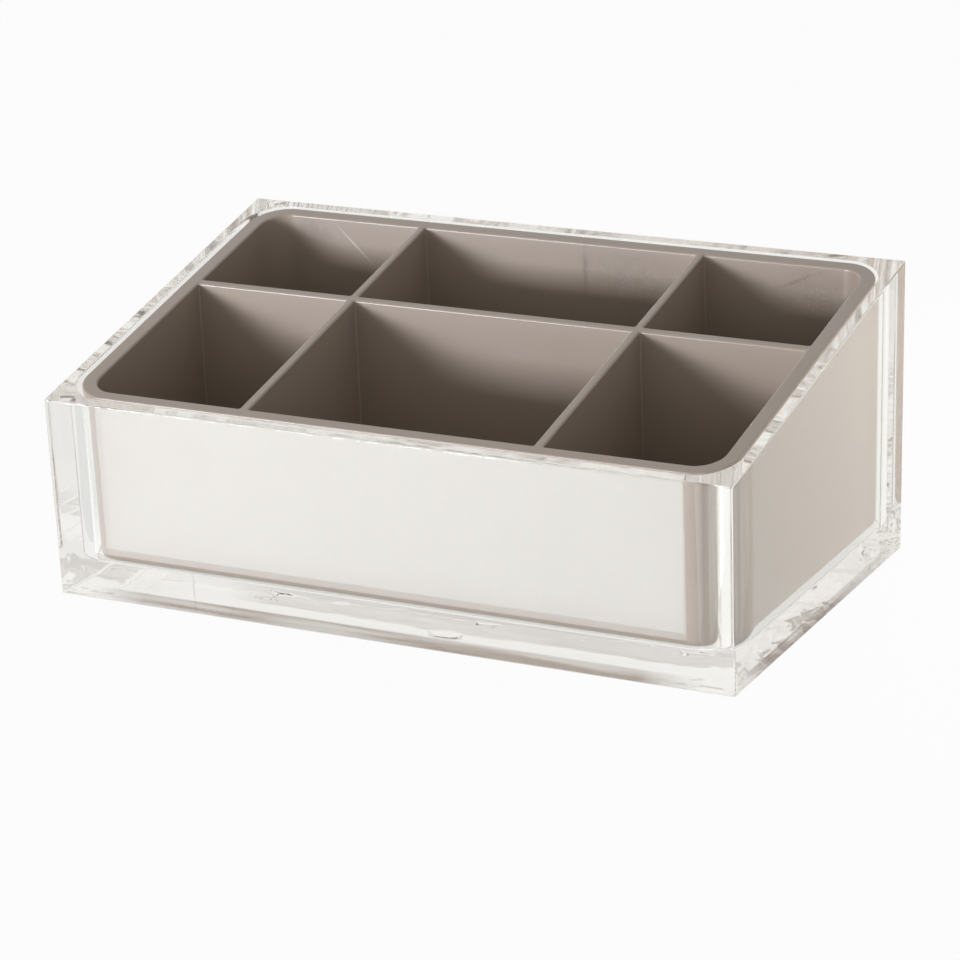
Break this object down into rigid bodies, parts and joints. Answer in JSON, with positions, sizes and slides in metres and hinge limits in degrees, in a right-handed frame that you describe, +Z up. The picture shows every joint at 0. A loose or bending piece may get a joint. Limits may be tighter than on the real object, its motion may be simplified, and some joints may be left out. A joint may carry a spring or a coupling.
{
  "type": "drawer organizer",
  "caption": "Clear, thick-walled case with a slanted top, holding a loose opaque tray with a flat rim and open compartments for pens, make-up and small office items.",
  "frame": {"origin": "middle of the case's outline, on the surface that it stands on", "axes": "+X along the longest side, towards the right as one faces the low front; +Y from the low front to the high back; +Z up, out of the compartments"},
  "size_m": [0.22, 0.1286, 0.0896],
  "materials": {
    "clear_acrylic": "clear, polished",
    "tray_plastic": "opaque taupe, moulded, half gloss"
  },
  "bodies": {
    "case": {"case": "clear_acrylic"},
    "tray": {"tray": "tray_plastic"}
  },
  "joints": [
    {"name": "tray_lift", "type": "slide", "parent": "case", "child": "tray", "axis": [0, 0, 1], "range_m": [0, 0.085]}
  ]
}
